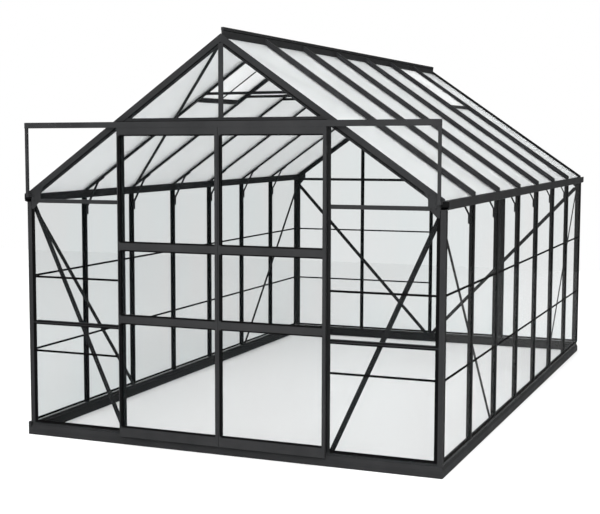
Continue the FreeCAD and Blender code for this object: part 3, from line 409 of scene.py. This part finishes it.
# strips on the door leaves and the track
RAIL_HEIGHTS = (0.738, 1.156)
HALF_RAIL = 0.0263
LEAF_OPENINGS = (
    (leaf_pane_low[2], RAIL_HEIGHTS[0] - HALF_RAIL),
    (RAIL_HEIGHTS[0] + HALF_RAIL, RAIL_HEIGHTS[1] - HALF_RAIL),
    (RAIL_HEIGHTS[1] + HALF_RAIL, leaf_pane_high[2]),
)
LEAF_GLASS = 0.0018
LEAF_SEAL_WIDTH = 0.002
LEAF_SEAL_THICK = 0.0067
# thin black runs of painted shade on the leaves' fronts and the front bay bars
LAP_THICK = 0.0005
STILE_LAP = 0.011
RAIL_LAP = 0.006
BRUSH_INSET = 0.002
BRUSH_WIDTH = 0.008
BRUSH_DEPTH = 0.0165
BRUSH_SPAN = (0.09, 1.78)
# black strips behind the slit and on top of the track: painted shade
TRACK_SHADE_DROP = 0.009
TRACK_SHADE_RISE = 0.016
TRACK_SHADE_THICK = 0.0015
TRACK_TOP_SHADE_WIDTH = 0.006
TRACK_TOP_SHADE_RISE = 0.003

# outline of a strip: across and outwards, as shares of its width and thickness
BEAD = ((0.0, 0.0), (1.0, 0.0), (1.0, 0.55), (0.82, 1.0), (0.18, 1.0), (0.0, 0.55))
# outline of a bolt head: radius and height, as shares of the head's own
DOME = ((1.0, 0.0), (1.0, 0.4), (0.82, 0.78), (0.45, 1.0))
BOLT_RADIUS = 0.0055
BOLT_RISE = 0.0022
BOLT_SIDES = 12
GUSSET_THICK = 0.0025
# bolts on a gusset: inwards from the post's outer face and up from the eave
GUSSET_BOLTS = ((0.049, 0.008), (0.049, 0.036), (0.076, 0.008), (0.088, 0.076))
KNEE_THICK = 0.006
KNEE_RISE = 0.0451
KNEE_BOLT = 0.126


def station(index):
    """Bay line along the house, counted from the front gable."""
    return (index - BAYS_LONG / 2) * BAY


def roof_height(x, depth):
    """Height at a distance from the ridge, at a depth square to the slope."""
    rise = (OUTER_X - abs(x)) * math.tan(ROOF_PITCH)
    return ROOF_AT_EAVE + rise - depth / math.cos(ROOF_PITCH)


def post_top(line):
    """Height at which the strips on a gable post end, under the rafter."""
    return roof_height(abs(line) * BAY + HALF_FLANGE, RAFTER_DEPTH)


def upright(x, y, low, high, across, out):
    """One upright run of strip."""
    return (x, y, low), (x, y, high), across, out


def add_bead(points, faces, start, end, across, out):
    """One run of chamfered strip from start to end."""
    first = len(points)
    count = len(BEAD)
    for spot in (start, end):
        for share, rise in BEAD:
            points.append(Vector(spot) + Vector(across) * share + Vector(out) * rise)
    for k in range(count):
        after = (k + 1) % count
        faces.append((first + k, first + after, first + count + after, first + count + k))
    faces.append(tuple(range(first, first + count)))
    faces.append(tuple(range(first + count, first + 2 * count)))


def add_bolt(points, faces, spot, out):
    """One low domed bolt head that stands on a face."""
    first = len(points)
    turn = Vector(out).to_track_quat("Z", "Y")
    for share, rise in DOME:
        for k in range(BOLT_SIDES):
            angle = 2 * math.pi * k / BOLT_SIDES
            around = Vector((math.cos(angle), math.sin(angle), 0.0)) * share * BOLT_RADIUS
            around.z = rise * BOLT_RISE
            points.append(Vector(spot) + turn @ around)
    for ring in range(len(DOME) - 1):
        low = first + ring * BOLT_SIDES
        for k in range(BOLT_SIDES):
            after = (k + 1) % BOLT_SIDES
            faces.append((low + k, low + after, low + BOLT_SIDES + after, low + BOLT_SIDES + k))
    last = first + (len(DOME) - 1) * BOLT_SIDES
    faces.append(tuple(range(first, first + BOLT_SIDES)))
    faces.append(tuple(range(last, last + BOLT_SIDES)))


def add_piece(name, body, slot, points, faces):
    """Makes one piece of the faces, riding on a body."""
    mesh = bpy.data.meshes.new(name)
    mesh.from_pydata(points, [], faces)
    made = bmesh.new()
    made.from_mesh(mesh)
    bmesh.ops.recalc_face_normals(made, faces=made.faces)
    made.to_mesh(mesh)
    made.free()
    mesh.materials.append(MATERIALS[slot])
    piece = bpy.data.objects.new(name, mesh)
    scene.collection.objects.link(piece)
    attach(piece, body)


def add_strips(name, body, runs):
    """Makes one rubber piece of several runs of strip."""
    points = []
    faces = []
    for run in runs:
        add_bead(points, faces, *run)
    add_piece(name, body, "seal_rubber", points, faces)


def corner_gaskets():
    """Upright strips on the panes beside the corner posts."""
    runs = []
    whole = ((STRIP_FOOT, STRIP_TOP),)
    for side in (-1, 1):
        for end in (-1, 1):
            x = side * (OUTER_X - LIP)
            y = end * (OUTER_Y - GASKET_BACK)
            across = (-side * GASKET_WIDTH, 0, 0)
            gable_spans = SPLIT_STRIP if end < 0 else whole
            for low, high in gable_spans:
                runs.append(upright(x, y, low, high, across, (0, end * GASKET_THICK, 0)))
            x = side * (OUTER_X - GASKET_BACK)
            y = end * (OUTER_Y - LIP)
            across = (0, -end * GASKET_WIDTH, 0)
            runs.append(upright(x, y, STRIP_FOOT, STRIP_TOP, across, (side * GASKET_THICK, 0, 0)))
    add_strips("corner_gaskets", "house", runs)


def bar_edge_shade_strips():
    """Black strips along the inner edge of the wall bars, door jambs and gable posts: painted shade on the
    bars' inner edges.
    """
    runs = []
    for side in (-1, 1):
        for index in range(1, BAYS_LONG):
            for face in (-1, 1):
                x = side * INNER_X
                y = station(index) + face * HALF_WEB
                across = (side * BAR_EDGE_SHADE_WIDTH, 0, 0)
                runs.append(upright(x, y, STRIP_FOOT, STRIP_TOP, across, (0, face * BAR_EDGE_SHADE_THICK, 0)))
    # bar line, gable and face: the jambs' doorway faces, then both faces of each rear post
    posts = [(-1, -1, 1), (1, -1, -1)]
    for line in (-1, 0, 1):
        posts += [(line, 1, -1), (line, 1, 1)]
    for line, end, face in posts:
        x = line * BAY + face * HALF_WEB
        y = end * INNER_Y
        across = (0, end * BAR_EDGE_SHADE_WIDTH, 0)
        runs.append(upright(x, y, STRIP_FOOT, post_top(line), across, (face * BAR_EDGE_SHADE_THICK, 0, 0)))
    add_strips("bar_edge_shade_strips", "house", runs)


def groove_shade_strips():
    """Black strips beside the bars, on the inside of the glass: painted shade in the grooves between bars
    and panes.
    """
    runs = []
    for side in (-1, 1):
        x = side * (OUTER_X - GROOVE_SHADE_BACK)
        for index in range(1, BAYS_LONG):
            for face in (-1, 1):
                y = station(index) + face * GROOVE_SHADE_SIDE
                across = (0, face * GROOVE_SHADE_WIDTH, 0)
                runs.append(upright(x, y, STRIP_FOOT, STRIP_TOP, across, (-side * GROOVE_SHADE_THICK, 0, 0)))
    y = OUTER_Y - GROOVE_SHADE_BACK
    for line in (-1, 0, 1):
        for face in (-1, 1):
            x = line * BAY + face * GROOVE_SHADE_SIDE
            across = (face * GROOVE_SHADE_WIDTH, 0, 0)
            runs.append(upright(x, y, STRIP_FOOT, post_top(line), across, (0, -GROOVE_SHADE_THICK, 0)))
    for side in (-1, 1):
        x = side * (BAY + GROOVE_SHADE_SIDE)
        across = (side * GROOVE_SHADE_WIDTH, 0, 0)
        for low, high in SPLIT_STRIP:
            runs.append(upright(x, -y, low, high, across, (0, GROOVE_SHADE_THICK, 0)))
    add_strips("groove_shade_strips", "house", runs)


def sill_shade_strips():
    """Black strips along the foot of the wall panes, above the base rails: painted shade on the rails'
    tops.
    """
    runs = []
    rise = (0, 0, SILL_RISE)
    corner = OUTER_Y - LIP - GASKET_WIDTH - CLEAR
    for side in (-1, 1):
        x = side * (OUTER_X - SILL_BACK)
        for index in range(BAYS_LONG):
            near = max(station(index) + HALF_FLANGE, -corner)
            far = min(station(index + 1) - HALF_FLANGE, corner)
            runs.append(((x, near, STRIP_FOOT), (x, far, STRIP_FOOT), rise, (side * SILL_THICK, 0, 0)))
    corner = OUTER_X - LIP - GASKET_WIDTH - CLEAR
    for end, bays in ((-1, FRONT_PANE_BAYS), (1, REAR_PANE_BAYS)):
        y = end * (OUTER_Y - SILL_BACK)
        for bay in bays:
            near = max(bay * BAY + HALF_FLANGE, -corner)
            far = min((bay + 1) * BAY - HALF_FLANGE, corner)
            if end > 0 and bay == WINGED_BAY:
                far -= REAR_WING
            runs.append(((near, y, STRIP_FOOT), (far, y, STRIP_FOOT), rise, (0, end * SILL_THICK, 0)))
    add_strips("sill_shade_strips", "house", runs)


def rafter_gaskets():
    """Strips along the upper edge of the gable panes, under the rafters' lips."""
    runs = []
    inward = EDGE_SEAL * math.sin(ROOF_PITCH)
    down = EDGE_SEAL * math.cos(ROOF_PITCH)
    for end in (-1, 1):
        y = end * (OUTER_Y - GASKET_BACK)
        for side in (-1, 1):
            stop = HEADER_CORNER if end < 0 else BAY - HALF_FLANGE
            if end > 0 and side > 0:
                stop -= REAR_WING
            for near, far in ((HALF_FLANGE + inward, stop), (BAY + HALF_FLANGE + inward, RAFTER_SEAL_END)):
                high = (side * near, y, roof_height(near, RAFTER_LIP))
                low = (side * far, y, roof_height(far, RAFTER_LIP))
                runs.append((high, low, (-side * inward, 0, -down), (0, end * GASKET_THICK, 0)))
    add_strips("rafter_gaskets", "house", runs)


def ridge_seals():
    """Dark line under the ridge board's lip, on both faces."""
    runs = []
    z = ridge_high[2] - RIDGE_LIP - RIDGE_SEAL_RISE - HAIR
    for side in (-1, 1):
        near = (side * HALF_RIDGE, ridge_low[1] + CLEAR, z)
        far = (side * HALF_RIDGE, ridge_high[1] - CLEAR, z)
        runs.append((near, far, (0, 0, RIDGE_SEAL_RISE), (side * RIDGE_SEAL_THICK, 0, 0)))
    add_strips("ridge_seals", "house", runs)


def pane_seals(side):
    """Runs round the panes of one leaf, on both faces."""
    runs = []
    middle = (leaf_pane_low[1] + leaf_pane_high[1]) / 2
    near = leaf_pane_low[0]
    far = leaf_pane_high[0]
    start = side * (near + LEAF_SEAL_WIDTH)
    stop = side * (far - LEAF_SEAL_WIDTH)
    for low, high in LEAF_OPENINGS:
        for face in (-1, 1):
            y = middle + face * LEAF_GLASS
            out = (0, face * LEAF_SEAL_THICK, 0)
            for x, inward in ((near, 1), (far, -1)):
                across = (side * inward * LEAF_SEAL_WIDTH, 0, 0)
                runs.append(upright(side * x, y, low, high, across, out))
            for z, inward in ((low, 1), (high, -1)):
                across = (0, 0, inward * LEAF_SEAL_WIDTH)
                runs.append(((start, y, z), (stop, y, z), across, out))
    return runs


def leaf_reveal_shade(side):
    """Thin black runs on the front of one leaf, along its rails and the stile left of the panes: painted
    shade of the reveals round the panes.
    """
    runs = []
    left = leaf_pane_low[0] if side > 0 else -leaf_pane_high[0]
    right = leaf_pane_high[0] if side > 0 else -leaf_pane_low[0]
    y = leaf_low[1] - HAIR
    out = (0, -LAP_THICK, 0)
    for low, high in LEAF_OPENINGS:
        runs.append(upright(left, y, low, high, (-STILE_LAP, 0, 0), out))
        runs.append(((left, y, low), (right, y, low), (0, 0, -RAIL_LAP), out))
        runs.append(((left, y, high), (right, y, high), (0, 0, RAIL_LAP), out))
    return runs


def stile_brush(side):
    """Run of brush behind the outer stile of one leaf."""
    x = side * (leaf_high[0] - BRUSH_INSET)
    y = leaf_high[1] + HAIR
    across = (-side * BRUSH_WIDTH, 0, 0)
    return upright(x, y, *BRUSH_SPAN, across, (0, BRUSH_DEPTH, 0))


def leaf_seals_and_shade_strips(tag, side):
    """All strips that ride on one leaf: seals round the panes, a brush, and thin black runs of painted
    shade.
    """
    runs = pane_seals(side) + leaf_reveal_shade(side) + [stile_brush(side)]
    add_strips(f"{tag}_door_seals_and_shade_strips", f"{tag}_door", runs)


def track_shade_strips():
    """Black strips of painted shade: one behind the slit over the leaves, one along the top of the track
    under the header.
    """
    end = leaf_high[0]
    y = leaf_high[1] + HAIR
    z = track_low[2] - TRACK_SHADE_DROP
    back = ((-end, y, z), (end, y, z), (0, 0, TRACK_SHADE_RISE), (0, TRACK_SHADE_THICK, 0))
    y = track_low[1] + CLEAR
    z = track_high[2] + HAIR
    top = ((-end, y, z), (end, y, z), (0, TRACK_TOP_SHADE_WIDTH, 0), (0, 0, TRACK_TOP_SHADE_RISE))
    add_strips("track_shade_strips", "house", [back, top])


def bay_bar_shade_strips():
    """Black strips along both edges of the middle bars in the front side bays: painted shade on the bars'
    edges.
    """
    runs = []
    y = -OUTER_Y - HAIR
    for side in (-1, 1):
        for z, inward in zip(BAY_BAR, (1, -1)):
            near = (side * (BAY + HALF_FLANGE), y, z)
            far = (side * BAY_BAR_END, y, z)
            runs.append((near, far, (0, 0, inward * BAY_BAR_LAP), (0, -LAP_THICK, 0)))
    add_strips("bay_bar_shade_strips", "house", runs)


def frame_bolts():
    """Bolt heads on the front gussets and on both legs of every knee brace."""
    points = []
    faces = []
    sine = math.sin(ROOF_PITCH)
    cosine = math.cos(ROOF_PITCH)
    corner = EAVE + KNEE_RISE
    foot_x = INNER_X - KNEE_THICK
    foot_z = corner - KNEE_BOLT
    arm_x = INNER_X - KNEE_BOLT * cosine - KNEE_THICK * sine
    arm_z = corner + KNEE_BOLT * sine - KNEE_THICK * cosine
    for side in (-1, 1):
        for inward, rise in GUSSET_BOLTS:
            spot = (side * (OUTER_X - inward), -OUTER_Y - GUSSET_THICK, EAVE + rise)
            add_bolt(points, faces, spot, (0, -1, 0))
        for index in range(1, BAYS_LONG):
            y = station(index)
            add_bolt(points, faces, (side * foot_x, y, foot_z), (-side, 0, 0))
            add_bolt(points, faces, (side * arm_x, y, arm_z), (-side * sine, 0, -cosine))
    add_piece("frame_bolts", "house", "fitting_metal", points, faces)


def floor_paper():
    """Pale paper, lifted to white where the camera sees it bare, and in part behind the panes."""
    made, tree, out = nodes_of("floor_paper")
    diffuse = tree.nodes.new("ShaderNodeBsdfDiffuse")
    diffuse.inputs["Color"].default_value = (FLOOR_TONE, FLOOR_TONE, FLOOR_TONE, 1.0)
    glow = tree.nodes.new("ShaderNodeEmission")
    path = tree.nodes.new("ShaderNodeLightPath")
    crossed = path.outputs["Transparent Depth"]
    bare = span(tree, crossed, FLOOR_LIFT, 0.0, *BARE_FACES)
    behind = span(tree, crossed, 0.0, 1.0, *FAR_FACES)
    place = tree.nodes.new("ShaderNodeSeparateXYZ")
    link(tree, coordinates(tree), place.inputs["Vector"])
    slope = span(tree, place.outputs["X"], *FAR_FLOOR_LIFT, *FAR_FLOOR_SPAN)
    lift = math_step(tree, "MULTIPLY_ADD", behind, slope, bare)
    seen = math_step(tree, "MULTIPLY", path.outputs["Is Camera Ray"], lift)
    link(tree, seen, glow.inputs["Strength"])
    both = tree.nodes.new("ShaderNodeAddShader")
    link(tree, diffuse.outputs["BSDF"], both.inputs[0])
    link(tree, glow.outputs["Emission"], both.inputs[1])
    link(tree, both.outputs["Shader"], out.inputs["Surface"])
    return made


def build_stage():
    """Floor that ends behind the house and keeps the part's shadow."""
    mesh = bpy.data.meshes.new("floor")
    corners = [
        (-FLOOR_HALF, FLOOR_FRONT, -FLOOR_DROP),
        (FLOOR_HALF, FLOOR_FRONT, -FLOOR_DROP),
        (FLOOR_HALF, FLOOR_BACK, -FLOOR_DROP),
        (-FLOOR_HALF, FLOOR_BACK, -FLOOR_DROP),
    ]
    mesh.from_pydata(corners, [], [(0, 1, 2, 3)])
    mesh.materials.append(floor_paper())
    floor = bpy.data.objects.new("floor", mesh)
    scene.collection.objects.link(floor)


def build_world():
    """White to the camera and through glass; softer in mirrors and as a light."""
    world = bpy.data.worlds.new("studio")
    scene.world = world
    world.use_nodes = True
    tree = world.node_tree
    tree.nodes.clear()
    out = tree.nodes.new("ShaderNodeOutputWorld")
    path = tree.nodes.new("ShaderNodeLightPath")
    seen = math_step(tree, "MAXIMUM", path.outputs["Is Camera Ray"], path.outputs["Is Transmission Ray"])
    mirrored = span(tree, path.outputs["Is Glossy Ray"], WORLD_LIGHT, WORLD_MIRRORED, 0.0, 1.0)
    back = tree.nodes.new("ShaderNodeBackground")
    back.inputs["Color"].default_value = (*WHITE, 1.0)
    link(tree, math_step(tree, "MAXIMUM", seen, mirrored), back.inputs["Strength"])
    link(tree, back.outputs["Background"], out.inputs["Surface"])


def sun_light(name, towards, spread, strength):
    """Broad even light from above, the same over the whole floor."""
    data = bpy.data.lights.new(name, "SUN")
    data.angle = math.radians(spread)
    data.energy = strength
    lamp = bpy.data.objects.new(name, data)
    lamp.rotation_euler = Vector(towards).to_track_quat("-Z", "Y").to_euler()
    scene.collection.objects.link(lamp)


def area_light(name, spot, aim, size, power):
    """Large soft panel aimed at a spot."""
    data = bpy.data.lights.new(name, "AREA")
    data.shape = "RECTANGLE"
    data.size, data.size_y = size
    data.energy = power
    lamp = bpy.data.objects.new(name, data)
    lamp.location = spot
    lamp.rotation_euler = (Vector(aim) - Vector(spot)).to_track_quat("-Z", "Y").to_euler()
    scene.collection.objects.link(lamp)


def build_camera():
    """The photo's camera."""
    data = bpy.data.cameras.new("camera")
    data.sensor_width = SENSOR_WIDTH
    data.lens = FOCAL_PIXELS / IMAGE_WIDTH * SENSOR_WIDTH
    data.shift_x = (IMAGE_WIDTH / 2 - CENTRE_PIXEL[0]) / IMAGE_WIDTH
    data.shift_y = (CENTRE_PIXEL[1] - IMAGE_HEIGHT / 2) / IMAGE_WIDTH
    data.clip_end = CAMERA_REACH
    camera = bpy.data.objects.new("camera", data)
    turn = (Matrix.Rotation(math.radians(CAMERA_YAW), 3, "Z")
            @ Matrix.Rotation(math.radians(90 - CAMERA_PITCH), 3, "X")
            @ Matrix.Rotation(math.radians(CAMERA_ROLL), 3, "Z"))
    camera.matrix_world = Matrix.Translation(CAMERA_SPOT) @ turn.to_4x4()
    scene.collection.objects.link(camera)
    scene.camera = camera


corner_gaskets()
bar_edge_shade_strips()
groove_shade_strips()
sill_shade_strips()
rafter_gaskets()
ridge_seals()
leaf_seals_and_shade_strips("left", -1)
leaf_seals_and_shade_strips("right", 1)
track_shade_strips()
bay_bar_shade_strips()
frame_bolts()

build_stage()
build_world()
sun_light("top_light", TOP_LIGHT_TOWARDS, TOP_LIGHT_SPREAD, TOP_LIGHT_STRENGTH)
area_light("front_light", FRONT_LIGHT_SPOT, FRONT_LIGHT_AIM, FRONT_LIGHT_SIZE, FRONT_LIGHT_POWER)
build_camera()
scene.view_settings.view_transform = "Standard"
